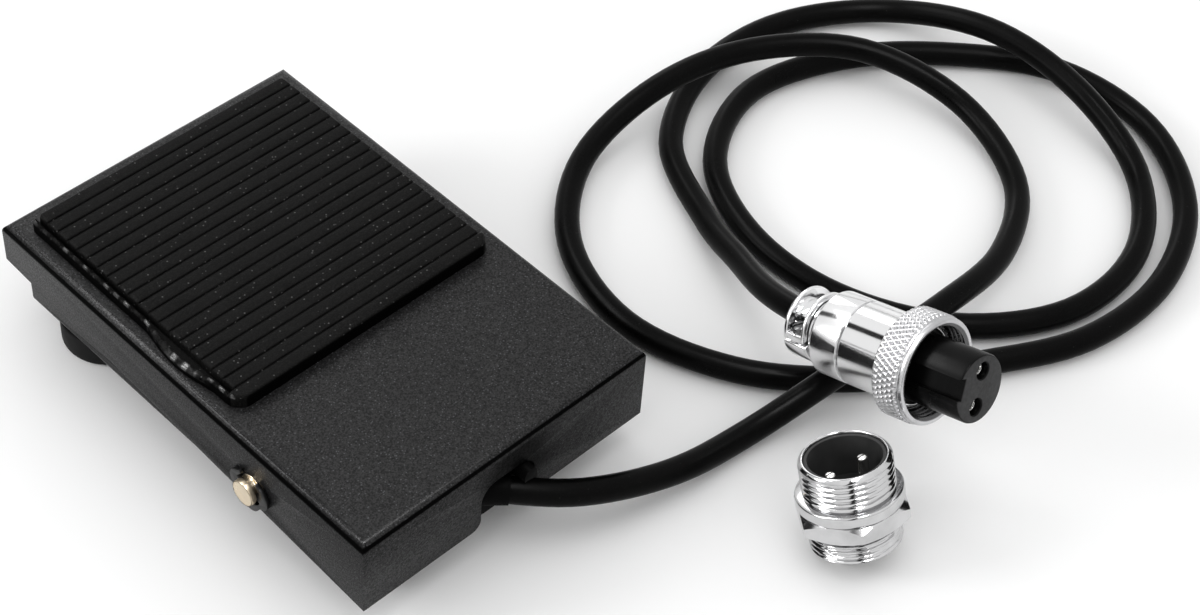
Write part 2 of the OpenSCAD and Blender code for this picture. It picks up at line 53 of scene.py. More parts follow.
# ------------------------------------------------------------------ camera
cam_data = bpy.data.cameras.new("camera")
cam_data.sensor_fit = "HORIZONTAL"
cam_data.sensor_width = 36.0
cam_data.lens = 76.73
cam_data.clip_start = 0.01
cam_data.clip_end = 20.0
camera = bpy.data.objects.new("camera", cam_data)
scene.collection.objects.link(camera)
fwd = Vector((0.5074, 0.4572, -0.7304)).normalized()
right = Vector((0.7120, -0.6999, 0.0564))
right = (right - fwd * right.dot(fwd)).normalized()
up = right.cross(fwd)
m = Matrix.Identity(4)
for i in range(3):
    m[i][0], m[i][1], m[i][2] = right[i], up[i], -fwd[i]
m.translation = Vector((-188.96, -234.79, 341.60)) * MM
camera.matrix_world = m
scene.camera = camera


# ------------------------------------------------------------------ shader helpers
class Nodes:
    """Short names for the nodes that a material is made of."""

    def __init__(self, name):
        self.mat = bpy.data.materials.new(name)
        self.mat.use_nodes = True
        self.tree = self.mat.node_tree
        self.bsdf = self.tree.nodes["Principled BSDF"]
        self.coord = self.tree.nodes.new("ShaderNodeTexCoord")

    def put(self, socket, value):
        if isinstance(value, bpy.types.NodeSocket):
            self.tree.links.new(value, socket)
        else:
            socket.default_value = value

    def set(self, **sockets):
        for k, v in sockets.items():
            self.put(self.bsdf.inputs[k.replace("_", " ")], v)

    def noise(self, scale, detail=3.0, rough=0.5, vec=None, kind="ShaderNodeTexNoise"):
        n = self.tree.nodes.new(kind)
        self.put(n.inputs["Vector"], vec or self.coord.outputs["Object"])
        n.inputs["Scale"].default_value = scale
        if "Detail" in n.inputs:
            n.inputs["Detail"].default_value = detail
        if "Roughness" in n.inputs:
            n.inputs["Roughness"].default_value = rough
        return n.outputs[0]

    def voronoi(self, scale, feature="F1", vec=None, out="Distance"):
        n = self.tree.nodes.new("ShaderNodeTexVoronoi")
        n.feature = feature
        self.put(n.inputs["Vector"], vec or self.coord.outputs["Object"])
        n.inputs["Scale"].default_value = scale
        return n.outputs[out]

    def ramp(self, fac, stops):
        n = self.tree.nodes.new("ShaderNodeValToRGB")
        self.put(n.inputs["Fac"], fac)
        el = n.color_ramp.elements
        while len(el) < len(stops):
            el.new(0.5)
        for e, (pos, c) in zip(el, stops):
            e.position = pos
            e.color = (c, c, c, 1) if isinstance(c, (int, float)) else (*c, 1)
        return n.outputs["Color"]

    def mix(self, fac, a, b):
        n = self.tree.nodes.new("ShaderNodeMix")
        n.data_type = "RGBA"
        self.put(n.inputs[0], fac)
        self.put(n.inputs[6], (*a, 1) if isinstance(a, tuple) and len(a) == 3 else a)
        self.put(n.inputs[7], (*b, 1) if isinstance(b, tuple) and len(b) == 3 else b)
        return n.outputs[2]

    def math(self, op, a, b=0.0):
        n = self.tree.nodes.new("ShaderNodeMath")
        n.operation = op
        self.put(n.inputs[0], a)
        self.put(n.inputs[1], b)
        return n.outputs[0]

    def span(self, v, lo, hi, to_lo, to_hi):
        n = self.tree.nodes.new("ShaderNodeMapRange")
        self.put(n.inputs["Value"], v)
        n.inputs["From Min"].default_value = lo
        n.inputs["From Max"].default_value = hi
        n.inputs["To Min"].default_value = to_lo
        n.inputs["To Max"].default_value = to_hi
        return n.outputs["Result"]

    def stretch(self, sx, sy, sz):
        n = self.tree.nodes.new("ShaderNodeMapping")
        self.put(n.inputs["Vector"], self.coord.outputs["Object"])
        n.inputs["Scale"].default_value = (sx, sy, sz)
        return n.outputs["Vector"]

    def axis(self, name):
        """One object coordinate, in metres."""
        n = self.tree.nodes.new("ShaderNodeSeparateXYZ")
        self.put(n.inputs[0], self.coord.outputs["Object"])
        return n.outputs[name]

    def band(self, v, lo, hi, soft):
        """1 between lo and hi, 0 outside, with soft flanks (all in mm)."""
        a = self.span(v, (lo - soft) * MM, lo * MM, 0.0, 1.0)
        b = self.span(v, hi * MM, (hi + soft) * MM, 1.0, 0.0)
        return self.math("MULTIPLY", a, b)

    def edge(self, lo=0.52, hi=0.62):
        """1 on outward edges, 0 on flat faces."""
        n = self.tree.nodes.new("ShaderNodeNewGeometry")
        return self.span(n.outputs["Pointiness"], lo, hi, 0.0, 1.0)

    def bump(self, height, strength, distance, under=None):
        n = self.tree.nodes.new("ShaderNodeBump")
        n.inputs["Strength"].default_value = strength
        n.inputs["Distance"].default_value = distance
        self.put(n.inputs["Height"], height)
        if under is not None:
            self.put(n.inputs["Normal"], under)
        self.put(self.bsdf.inputs["Normal"], n.outputs["Normal"])
        return n.outputs["Normal"]


# ------------------------------------------------------------------ materials
def paint(name, dark, light, fleck, spec=0.3, fold=None):
    n = Nodes(name)
    grain = n.noise(3400, 2.0, 0.65)
    cloud = n.noise(70, 3.0, 0.5)
    c = n.mix(n.span(grain, 0.41, 0.62, 0.0, 1.0), dark, light)
    c = n.mix(n.span(cloud, 0.3, 0.7, 0.0, 0.25), c, dark)
    spots = n.voronoi(1500)
    c = n.mix(n.span(spots, 0.08, 0.24, 0.7, 0.0), c, fleck)
    shine = n.span(grain, 0.38, 0.64, spec * 0.6, spec * 1.3)
    facing = n.tree.nodes.new("ShaderNodeSeparateXYZ")
    n.tree.links.new(n.coord.outputs["Normal"], facing.inputs[0])
    shine = n.math("MULTIPLY", shine, n.span(facing.outputs["Z"], 0.2, 0.8, 0.46, 1.0))
    # painted shade: upright faces are mixed up to a fifth of the way towards the dark colour
    c = n.mix(n.span(facing.outputs["Z"], 0.2, 0.8, 0.2, 0.0), c, dark)
    rough = n.span(grain, 0.3, 0.7, 0.42, 0.29)
    if fold:
        # painted shade: a dark line with little shine along the outside of the folds, standing in for the dark band the
        # bends reflect; on the left fold it reaches further down the side
        line = n.band(n.axis("Z"), fold[0], fold[1], 0.18)
        left_fold_painted_shade = n.span(n.axis("X"), -30.3 * MM, -30.0 * MM, 1.0, 0.0)
        left_fold_painted_shade = n.math("MULTIPLY", left_fold_painted_shade, n.band(n.axis("Z"), fold[0], fold[1] + 0.08, 0.36))
        line = n.math("MAXIMUM", line, left_fold_painted_shade)
        c = n.mix(line, c, (0.0012, 0.0012, 0.0012))
        shine = n.math("MULTIPLY", shine, n.span(line, 0.0, 1.0, 1.0, 0.06))
        # handling has polished the upper part of the left fold
        left = n.span(n.axis("X"), -30.0 * MM, -29.6 * MM, 1.0, 0.0)
        worn = n.math("MULTIPLY", left, n.span(n.axis("Z"), (fold[1] + 0.1) * MM, (fold[1] + 0.25) * MM, 0.0, 1.0))
        rough = n.math("MULTIPLY", rough, n.span(worn, 0.0, 1.0, 1.0, 0.6))
        # painted shade round the notch in the rear skirt: paint and shine darken where the cord exit lies in shade
        off = n.tree.nodes.new("ShaderNodeVectorMath")
        off.operation = "DISTANCE"
        off.inputs[1].default_value = (0.002, -0.0475, 0.0165)
        n.tree.links.new(n.coord.outputs["Object"], off.inputs[0])
        notch_painted_shade = n.span(off.outputs["Value"], 4.5 * MM, 10.5 * MM, 0.85, 0.0)
        notch_painted_shade = n.math("MULTIPLY", notch_painted_shade, n.span(n.axis("Z"), 20.6 * MM, 21.6 * MM, 1.0, 0.0))
        c = n.mix(notch_painted_shade, c, (0.001, 0.001, 0.001))
        shine = n.math("MULTIPLY", shine, n.span(notch_painted_shade, 0.0, 1.0, 1.0, 0.1))
    n.set(Base_Color=c, Roughness=rough)
    n.put(n.bsdf.inputs["Specular IOR Level"], shine)
    first = n.bump(n.noise(1300, 2.0, 0.5), 0.3, 0.00008)
    n.bump(grain, 0.5, 0.00005, first)
    return n.mat


def rubber(name, dark, light, grain_scale=1800, rough=(0.5, 0.72), specks=0.0, spec=0.1, worn=0.0):
    n = Nodes(name)
    grain = n.noise(grain_scale, 3.0, 0.6)
    cloud = n.noise(150, 4.0, 0.55)
    c = n.mix(n.span(cloud, 0.3, 0.7, 0.0, 1.0), dark, light)
    if specks:
        dust = n.voronoi(900)
        c = n.mix(n.span(dust, 0.03, 0.13, specks, 0.0), c, (0.11, 0.11, 0.108))
        fine = n.noise(3600, 2.0, 0.6)
        c = n.mix(n.span(fine, 0.5, 0.72, 0.0, 0.5), c, (0.03, 0.03, 0.0295))
    if worn:
        c = n.mix(n.math("MULTIPLY", n.edge(0.54, 0.66), worn), c, (0.05, 0.05, 0.049))
    n.set(Base_Color=c, Roughness=n.span(cloud, 0.3, 0.7, rough[0], rough[1]))
    n.bsdf.inputs["Specular IOR Level"].default_value = spec
    n.bump(grain, 0.3, 0.00008)
    return n.mat


def tread(name):
    n = Nodes(name)
    grain = n.noise(2600, 3.0, 0.65)
    cloud = n.noise(150, 4.0, 0.55)
    c = n.mix(n.span(cloud, 0.3, 0.7, 0.0, 1.0), (0.0018, 0.0018, 0.0017), (0.0042, 0.0041, 0.004))
    fine = n.noise(3800, 2.0, 0.6)
    c = n.mix(n.span(fine, 0.46, 0.7, 0.0, 0.75), c, (0.0125, 0.0123, 0.012))
    dust = n.voronoi(800)
    c = n.mix(n.span(dust, 0.03, 0.15, 0.85, 0.0), c, (0.13, 0.13, 0.128))
    facing = n.tree.nodes.new("ShaderNodeSeparateXYZ")
    n.tree.links.new(n.coord.outputs["Normal"], facing.inputs[0])
    # painted shade: the outer walls along the left edge and the rear are painted near black, with little shine
    outer = n.math("MAXIMUM", n.span(n.axis("X"), -28.15 * MM, -28.05 * MM, 1.0, 0.0), n.span(n.axis("Y"), -12.85 * MM, -12.75 * MM, 1.0, 0.0))
    outer_wall_shade = n.math("MULTIPLY", outer, n.span(facing.outputs["Z"], 0.1, 0.6, 1.0, 0.0))
    c = n.mix(outer_wall_shade, c, (0.0008, 0.0008, 0.0008))
    # the rim along the left edge is polished by wear in places
    top = n.math("MULTIPLY", n.span(n.axis("X"), -27.72 * MM, -27.6 * MM, 1.0, 0.0), n.span(n.axis("Z"), 24.7 * MM, 24.95 * MM, 0.0, 1.0))
    swell = n.math("MULTIPLY", n.span(n.axis("X"), -28.75 * MM, -28.35 * MM, 1.0, 0.0), n.span(n.axis("Z"), 23.6 * MM, 23.8 * MM, 0.0, 1.0))
    shiny = n.math("MULTIPLY", n.math("MAXIMUM", top, swell), n.span(n.axis("Y"), 0.0, 0.04, 1.0, 0.5))
    beat = n.math("FRACT", n.math("ADD", n.math("MULTIPLY", n.axis("Y"), 1 / (2.8 * MM)), 14.625))
    middle = n.span(n.math("ABSOLUTE", n.math("SUBTRACT", beat, 0.5)), 0.16, 0.3, 1.0, 0.0)
    shiny = n.math("MULTIPLY", shiny, n.math("MAXIMUM", middle, n.span(n.axis("X"), -28.7 * MM, -28.5 * MM, 0.25, 0.0)))
    broken = n.math("MULTIPLY", shiny, n.span(n.noise(380, 2.0, 0.5), 0.44, 0.6, 0.08, 1.0))
    n.set(Base_Color=c, Roughness=n.math("MULTIPLY", n.span(cloud, 0.3, 0.7, 0.4, 0.58), n.span(broken, 0.0, 1.0, 1.0, 0.42)))
    dim = n.math("MULTIPLY", n.span(outer_wall_shade, 0.0, 1.0, 1.0, 0.3), 0.045)
    n.put(n.bsdf.inputs["Specular IOR Level"], n.math("MAXIMUM", dim, n.span(broken, 0.0, 1.0, 0.0, 0.8)))
    n.bump(grain, 0.35, 0.00008)
    return n.mat


def cord_skin(name):
    n = Nodes(name)
    long_cloud = n.noise(90, 3.0, 0.5)
    grain = n.noise(2400, 2.0, 0.5)
    c = n.mix(n.span(long_cloud, 0.3, 0.7, 0.0, 1.0), (0.0008, 0.0008, 0.0008), (0.0018, 0.0018, 0.0017))
    c = n.mix(n.span(n.noise(3200, 2.0, 0.6), 0.5, 0.72, 0.0, 0.5), c, (0.006, 0.0059, 0.0058))
    c = n.mix(n.span(n.voronoi(520), 0.02, 0.07, 0.5, 0.0), c, (0.05, 0.05, 0.049))
    n.set(Base_Color=c, Roughness=n.span(long_cloud, 0.35, 0.65, 0.27, 0.36))
    n.bsdf.inputs["Specular IOR Level"].default_value = 0.045
    n.bump(grain, 0.12, 0.00004)
    return n.mat


def metal(name, colour, rough=(0.08, 0.2), lines=None, smear=0.25, bore=None):
    n = Nodes(name)
    cloud = n.noise(130, 4.0, 0.6)
    fine = n.noise(900, 2.0, 0.5)
    dull = tuple(v * (1 - smear) for v in colour)
    c = n.mix(n.span(cloud, 0.42, 0.75, 0.0, 1.0), colour, dull)
    if bore:
        # painted shade: the thread inside the ring is darkened to a fifth of its colour, where it lies in shade
        off, side, far = (n.tree.nodes.new("ShaderNodeVectorMath") for k in range(3))
        off.operation, side.operation, far.operation = "SUBTRACT", "CROSS_PRODUCT", "LENGTH"
        off.inputs[1].default_value = (0.06313, -0.0565, 0.0149)
        side.inputs[1].default_value = (0.0249, -0.9507, 0.309)
        for a, b in ((n.coord.outputs["Object"], off.inputs[0]), (off.outputs[0], side.inputs[0]), (side.outputs[0], far.inputs[0])):
            n.tree.links.new(a, b)
        c = n.mix(n.span(far.outputs["Value"], (bore - 0.12) * MM, bore * MM, 1.0, 0.0), c, tuple(v * 0.2 for v in colour))
    n.set(Base_Color=c, Metallic=1.0)
    n.set(Roughness=n.span(cloud, 0.3, 0.75, rough[0], rough[1]))
    if lines:
        n.bump(n.noise(1.0, 2.0, 0.5, n.stretch(*lines)), 0.05, 0.00002)
    else:
        n.bump(fine, 0.04, 0.00002)
    return n.mat


def insert(name):
    n = Nodes(name)
    cloud = n.noise(220, 3.0, 0.5)
    c = n.mix(n.span(cloud, 0.3, 0.7, 0.0, 1.0), (0.001, 0.001, 0.001), (0.0022, 0.0022, 0.0022))
    deep = n.tree.nodes.new("ShaderNodeVectorMath")
    deep.operation = "DOT_PRODUCT"
    deep.inputs[1].default_value = (0.0249, -0.9507, 0.309)
    n.tree.links.new(n.coord.outputs["Object"], deep.inputs[0])
    # painted light: the moulded face, square to the plug's axis, is painted much lighter than the near-black sides, and
    # it is also duller
    start = 63.13 * 0.0249 + 56.5 * 0.9507 + 14.9 * 0.309
    face = n.span(deep.outputs["Value"], (start + 37.9) * MM, (start + 37.97) * MM, 0.0, 1.0)
    dull = n.mix(n.span(n.noise(1600, 2.0, 0.5), 0.3, 0.7, 0.0, 1.0), (0.034, 0.034, 0.0345), (0.05, 0.05, 0.0505))
    n.set(Base_Color=n.mix(face, c, dull), Roughness=n.math("MULTIPLY", n.span(cloud, 0.3, 0.7, 0.24, 0.34), n.span(face, 0.0, 1.0, 1.0, 1.9)))
    n.bsdf.inputs["Specular IOR Level"].default_value = 0.085
    n.bump(n.noise(1200, 2.0, 0.5), 0.1, 0.00005)
    return n.mat


def plastic(name, dark, light, rough=(0.32, 0.5), grain=1200, spec=0.5):
    n = Nodes(name)
    cloud = n.noise(220, 3.0, 0.5)
    n.set(Base_Color=n.mix(n.span(cloud, 0.3, 0.7, 0.0, 1.0), dark, light))
    n.set(Roughness=n.span(cloud, 0.3, 0.7, rough[0], rough[1]))
    n.bsdf.inputs["Specular IOR Level"].default_value = spec
    n.bump(n.noise(grain, 2.0, 0.5), 0.12, 0.00005)
    return n.mat


M_COVER = paint("cover_paint", (0.004, 0.004, 0.0042), (0.019, 0.0188, 0.0193), (0.1, 0.102, 0.11), 0.2, (21.62, 22.15))
M_BASE = paint("base_paint", (0.004, 0.004, 0.0042), (0.016, 0.016, 0.0165), (0.05, 0.05, 0.05), 0.22)
M_PAD = tread("tread_rubber")
M_FOOT = rubber("foot_rubber", (0.005, 0.005, 0.005), (0.009, 0.009, 0.009))
M_GLAND = rubber("gland_rubber", (0.001, 0.001, 0.001), (0.002, 0.002, 0.002), 2000, (0.45, 0.6), 0.0, 0.03)
M_CORD = cord_skin("cord_pvc")
M_LEAD = plastic("lead_pvc", (0.012, 0.012, 0.012), (0.02, 0.02, 0.02), (0.25, 0.4))
M_CHROME = metal("plug_chrome", (0.84, 0.84, 0.845), (0.09, 0.17), (900, 40, 900), 0.1)
M_RING = metal("ring_chrome", (0.56, 0.56, 0.57), (0.22, 0.34), None, 0.25, 8.75)
M_SOCKET = metal("socket_chrome", (0.6, 0.6, 0.605), (0.08, 0.15), None, 0.25)
M_INSERT = insert("insert_plastic")
M_CUP = plastic("socket_plastic", (0.026, 0.026, 0.026), (0.04, 0.04, 0.04), (0.4, 0.55), 1400, 0.2)
M_BRASS = metal("pin_brass", (0.86, 0.73, 0.54), (0.2, 0.36), None, 0.18)
M_CLIP = plastic("black_clip", (0.004, 0.004, 0.0042), (0.009, 0.009, 0.0092), (0.3, 0.45), 1500, 0.25)
M_ZINC = metal("zinc_steel", (0.55, 0.56, 0.57), (0.25, 0.42), None, 0.2)
M_SPRING = metal("spring_steel", (0.5, 0.5, 0.51), (0.2, 0.35), None, 0.25)
M_RIVET = metal("rivet_aluminium", (0.68, 0.68, 0.69), (0.3, 0.45), None, 0.15)
M_SWITCH = plastic("switch_plastic", (0.014, 0.014, 0.014), (0.026, 0.026, 0.026), (0.4, 0.6))
M_PLUNGER = plastic("plunger_plastic", (0.42, 0.02, 0.02), (0.52, 0.035, 0.03), (0.25, 0.4))
M_COPPER = metal("contact_copper", (0.75, 0.5, 0.3), (0.2, 0.38), None, 0.25)
M_TIN = metal("terminal_metal", (0.80, 0.795, 0.78), (0.16, 0.3), None, 0.15)
MATS = {
    "cover_paint": M_COVER, "base_paint": M_BASE, "tread_rubber": M_PAD, "foot_rubber": M_FOOT,
    "gland_rubber": M_GLAND, "cord_pvc": M_CORD, "lead_pvc": M_LEAD, "plug_chrome": M_CHROME,
    "ring_chrome": M_RING, "socket_chrome": M_SOCKET, "insert_plastic": M_INSERT, "pin_brass": M_BRASS,
    "black_clip": M_CLIP, "zinc_steel": M_ZINC, "spring_steel": M_SPRING, "rivet_aluminium": M_RIVET,
    "switch_plastic": M_SWITCH, "plunger_plastic": M_PLUNGER, "contact_copper": M_COPPER, "terminal_metal": M_TIN}


# ------------------------------------------------------------------ mesh helpers
def finish_mesh(bm, sharp_deg=35.0):
    bmesh.ops.remove_doubles(bm, verts=bm.verts, dist=1e-7)
    bmesh.ops.recalc_face_normals(bm, faces=bm.faces)
    lim = math.radians(sharp_deg)
    for f in bm.faces:
        f.smooth = True
    for e in bm.edges:
        e.smooth = len(e.link_faces) == 2 and e.calc_face_angle(0.0) < lim


def piece(name, bm, body, mat, nodes=(), place=None, sharp_deg=35.0):
    """A finished piece in the frame's own coordinates, riding on a body."""
    if place is not None:
        bmesh.ops.transform(bm, matrix=place, verts=bm.verts)
    finish_mesh(bm, sharp_deg)
    me = bpy.data.meshes.new(name)
    bm.to_mesh(me)
    bm.free()
    o = bpy.data.objects.new(name, me)
    scene.collection.objects.link(o)
    me.materials.append(mat)
    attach(o, body)
    if nodes:
        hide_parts(*nodes)
    return o


def grid(bm, rows, close_u=False, close_v=False):
    """Skin over rows of points; returns the rows of vertices."""
    vs = [[bm.verts.new(Vector(p) * MM) for p in row] for row in rows]
    nu, nv = len(vs), len(vs[0])
    for i in range(nu if close_u else nu - 1):
        for j in range(nv if close_v else nv - 1):
            a, b = vs[i][j], vs[i][(j + 1) % nv]
            c, d = vs[(i + 1) % nu][(j + 1) % nv], vs[(i + 1) % nu][j]
            ring = []
            for v in (a, b, c, d):
                if v not in ring:
                    ring.append(v)
            if len(ring) > 2:
                bm.faces.new(ring)
    return vs


def rounded(profile, r, n=3):
    """Profile with its inner corners turned into short arcs of radius about r."""
    out = [profile[0]]
    for a, b, c in zip(profile, profile[1:], profile[2:]):
        a, b, c = Vector(a), Vector(b), Vector(c)
        d1, d2 = (a - b), (c - b)
        k = min(r, 0.45 * d1.length, 0.45 * d2.length)
        if k < 1e-6 or abs(d1.normalized().dot(d2.normalized())) > 0.995:
            out.append(tuple(b))
            continue
        p, q = b + d1.normalized() * k, b + d2.normalized() * k
        for i in range(n + 1):
            t = i / n
            out.append(tuple(p * (1 - t) ** 2 + b * 2 * t * (1 - t) + q * t ** 2))
    out.append(profile[-1])
    return out


def lathe(bm, profile, segs=96, soft=0.15):
    """Turns a closed (s, r) profile about the local z axis."""
    pr = rounded(list(profile) + [profile[0], profile[1]], soft)
    pr = pr[1:]
    seen = []
    for p in pr:
        if not seen or (Vector(p) - Vector(seen[-1])).length > 1e-5:
            seen.append(p)
    if (Vector(seen[0]) - Vector(seen[-1])).length < 1e-5:
        seen.pop()
    rows = []
    for s, r in seen:
        rows.append([(r * math.cos(2 * math.pi * k / segs), r * math.sin(2 * math.pi * k / segs), s) for k in range(segs)])
    grid(bm, rows, close_u=True, close_v=True)


def turned(profile, segs=96, soft=0.15):
    bm = bmesh.new()
    lathe(bm, profile, segs, soft)
    return bm


def euler_place(at, turn):
    """The same placing as translate(at) rotate(turn) in the construction."""
    rx, ry, rz = (math.radians(v) for v in turn)
    rot = Matrix.Rotation(rz, 4, "Z") @ Matrix.Rotation(ry, 4, "Y") @ Matrix.Rotation(rx, 4, "X")
    return Matrix.Translation(Vector(at) * MM) @ rot


PLUG = euler_place((63.13, -56.5, 14.9), (0, 72, -88.5))
SOCK_LEAN = 21.5
SOCK = euler_place((41.5, -89.4, 8 * math.sin(math.radians(SOCK_LEAN))), (0, SOCK_LEAN, 82))

# ------------------------------------------------------------------ cord
ROUTE = [
    (-10.5, -34, 11), (-1.5, -45, 11), (10.5, -54.5, 8.8), (27.5, -59.5, 4.8),
    (45.5, -61, 2.6), (67, -65, 7.6), (89.5, -66.5, 7.7), (111.5, -63.5, 4.2),
    (130, -52, 2.4), (137.5, -31.5, 4.4), (131.5, -10.5, 7.5), (114.5, 4, 7.8),
    (93, 9, 7.2), (71, 7, 3.2), (54, -7, 2.4), (47.5, -28, 2.4),
    (54, -49, 2.4), (69, -65.5, 2.4), (88, -77.5, 2.4), (108, -87, 2.4),
    (130, -87.5, 2.4), (150, -78, 2.4), (162.5, -59.5, 2.4), (162, -37.5, 2.4),
    (149, -19.5, 2.4), (131.5, -6, 2.4), (110, -0.5, 2.4), (90.5, -9.5, 2.4),
    (81, -28, 2.4), (81.5, -49, 2.4), (92, -68.5, 2.4), (111, -80.5, 2.4),
    (132.5, -79.5, 2.4), (150, -66, 2.8), (156, -45, 7), (155.5, -23, 7.8),
    (148, -2.5, 3.4), (129.5, 9.5, 2.4), (107.5, 10, 2.4), (87.5, -0.5, 2.4),
    (77.3, -19.6, 2.9), (71.8, -33, 6), (66.6, -45.2, 10.3), (63.25, -61.16, 16.41),
]
CORD_R = 2.4


def smooth_line(pts, sub):
    pts = [Vector(p) for p in pts]
    n = len(pts)
    ext = [2 * pts[0] - pts[1]] + pts + [2 * pts[-1] - pts[-2]]
    out = []
    for i in range(n - 1):
        a, b, c, d = ext[i:i + 4]
        for j in range(sub):
            t = j / sub
            out.append(0.5 * (2 * b + (c - a) * t + (2 * a - 5 * b + 4 * c - d) * t * t + (3 * b - a - 3 * c + d) * t ** 3))
    out.append(pts[-1])
    return out


line = [Vector((p.x, p.y, max(p.z, CORD_R))) for p in smooth_line(ROUTE, 8)]
cu = bpy.data.curves.new("cord_line", "CURVE")
cu.dimensions = "3D"
cu.bevel_depth = CORD_R * MM
cu.bevel_resolution = 7
cu.use_fill_caps = True
sp = cu.splines.new("POLY")
sp.points.add(len(line) - 1)
for q, p in zip(sp.points, line):
    q.co = (*(p * MM), 1.0)
sp.use_smooth = True
cord = bpy.data.objects.new("cord_line", cu)
scene.collection.objects.link(cord)
cu.materials.append(M_CORD)
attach(cord, "base")
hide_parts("cord")
cord.visible_glossy = False

# ------------------------------------------------------------------ floor and light
floor_me = bpy.data.meshes.new("floor")
floor_me.from_pydata([(-6, -6, 0), (6, -6, 0), (6, 6, 0), (-6, 6, 0)], [], [(0, 1, 2, 3)])
floor = bpy.data.objects.new("floor", floor_me)
scene.collection.objects.link(floor)
fn = Nodes("floor_pale")
fn.set(Base_Color=fn.mix(fn.span(fn.noise(3.0, 2.0, 0.5), 0.3, 0.7, 0.0, 1.0), (0.95, 0.95, 0.95), (0.97, 0.97, 0.97)), Roughness=0.9)
fn.bsdf.inputs["Specular IOR Level"].default_value = 0.1
floor_me.materials.append(fn.mat)
floor.location = (0, 0, -0.00005)

scene.view_settings.view_transform = "Standard"
world = bpy.data.worlds.new("studio")
scene.world = world
world.use_nodes = True
wt = world.node_tree
bg = wt.nodes["Background"]
wc = wt.nodes.new("ShaderNodeTexCoord")
wz = wt.nodes.new("ShaderNodeSeparateXYZ")
wr = wt.nodes.new("ShaderNodeValToRGB")
wt.links.new(wc.outputs["Generated"], wz.inputs[0])
wt.links.new(wz.outputs["Z"], wr.inputs["Fac"])
wt.links.new(wr.outputs["Color"], bg.inputs["Color"])
STOPS = ((0.0, 0.85), (0.062, 0.85), (0.072, 0.22), (0.094, 0.22), (0.104, 0.85), (0.4, 0.86), (0.6, 0.95), (1.0, 1.0))
while len(wr.color_ramp.elements) < len(STOPS):
    wr.color_ramp.elements.new(0.5)
for el, (pos, v) in zip(wr.color_ramp.elements, STOPS):
    el.position = pos
    el.color = (v, v, v, 1)


def card(light, across, toward, width):
    """A narrow upright dark card far off in one direction, for the bright metal to reflect."""
    side = wt.nodes.new("ShaderNodeVectorMath")
    side.operation = "DOT_PRODUCT"
    side.inputs[1].default_value = across
    front = wt.nodes.new("ShaderNodeVectorMath")
    front.operation = "DOT_PRODUCT"
    front.inputs[1].default_value = toward
    off = wt.nodes.new("ShaderNodeMath")
    off.operation = "ABSOLUTE"
    dark, ahead = wt.nodes.new("ShaderNodeMapRange"), wt.nodes.new("ShaderNodeMapRange")
    for r, lo, hi, a, b in ((dark, width, width + 0.035, 0.02, 1.0), (ahead, 0.2, 0.3, 0.0, 1.0)):
        for key, v in (("From Min", lo), ("From Max", hi), ("To Min", a), ("To Max", b)):
            r.inputs[key].default_value = v
    mixed = wt.nodes.new("ShaderNodeMix")
    mixed.data_type = "RGBA"
    mixed.blend_type = "MULTIPLY"
    for a, b in ((wc.outputs["Generated"], side.inputs[0]), (wc.outputs["Generated"], front.inputs[0]), (side.outputs["Value"], off.inputs[0]),
                 (off.outputs[0], dark.inputs["Value"]), (front.outputs["Value"], ahead.inputs["Value"]),
                 (ahead.outputs["Result"], mixed.inputs[0]), (light, mixed.inputs[6]), (dark.outputs["Result"], mixed.inputs[7])):
        wt.links.new(a, b)
    return mixed.outputs[2]


sky = card(wr.outputs["Color"], (0.98, 0.2, 0.0), (-0.2, 0.98, 0.0), 0.075)
sky = card(sky, (0.669, -0.743, 0.0), (-0.743, -0.669, 0.0), 0.1)
wt.links.new(sky, bg.inputs["Color"])
bg.inputs["Strength"].default_value = 1.1


def area(name, at, to, size, power, size_y=None):
    d = bpy.data.lights.new(name, "AREA")
    d.shape = "RECTANGLE"
    d.size = size
    d.size_y = size_y or size
    d.energy = power
    o = bpy.data.objects.new(name, d)
    scene.collection.objects.link(o)
    o.location = at
    o.rotation_euler = (Vector(to) - Vector(at)).to_track_quat("-Z", "Y").to_euler()
    return o


area("key", (-0.93, 0.7, 0.58), (0.0, 0.0, 0.01), 0.44, 5.6)
softbox = area("softbox", (-0.22, 0.78, 1.08), (0.0, 0.0, 0.02), 0.95, 9.0, 0.35)
softbox.visible_diffuse = False
fill = area("fill", (0.1, 0.0, 1.6), (0.1, 0.0, 0.0), 1.2, 2.2)
fill.visible_glossy = False
edge = area("edge", (0.66, 0.9, 0.45), (0.0, 0.0, 0.02), 0.35, 1.0)
edge.visible_diffuse = False
strip = area("strip", (-0.02, -0.16, 0.95), (0.09, -0.04, 0.0), 0.14, 6.0, 0.6)
strip.visible_diffuse = False

# ------------------------------------------------------------------ carried-over nodes
shade = bpy.data.node_groups.new("smooth_faces", "GeometryNodeTree")
shade.interface.new_socket("Geometry", in_out="INPUT", socket_type="NodeSocketGeometry")
shade.interface.new_socket("Geometry", in_out="OUTPUT", socket_type="NodeSocketGeometry")
g_in, g_out = shade.nodes.new("NodeGroupInput"), shade.nodes.new("NodeGroupOutput")
g_ang, g_cmp = shade.nodes.new("GeometryNodeInputMeshEdgeAngle"), shade.nodes.new("FunctionNodeCompare")
g_face, g_edge = shade.nodes.new("GeometryNodeSetShadeSmooth"), shade.nodes.new("GeometryNodeSetShadeSmooth")
g_cmp.data_type, g_cmp.operation = "FLOAT", "LESS_THAN"
g_cmp.inputs[1].default_value = math.radians(33)
g_face.domain, g_edge.domain = "FACE", "EDGE"
for a, b in ((g_in.outputs[0], g_face.inputs[0]), (g_face.outputs[0], g_edge.inputs[0]), (g_edge.outputs[0], g_out.inputs[0]),
             (g_ang.outputs[0], g_cmp.inputs[0]), (g_cmp.outputs[0], g_edge.inputs["Shade Smooth"])):
    shade.links.new(a, b)


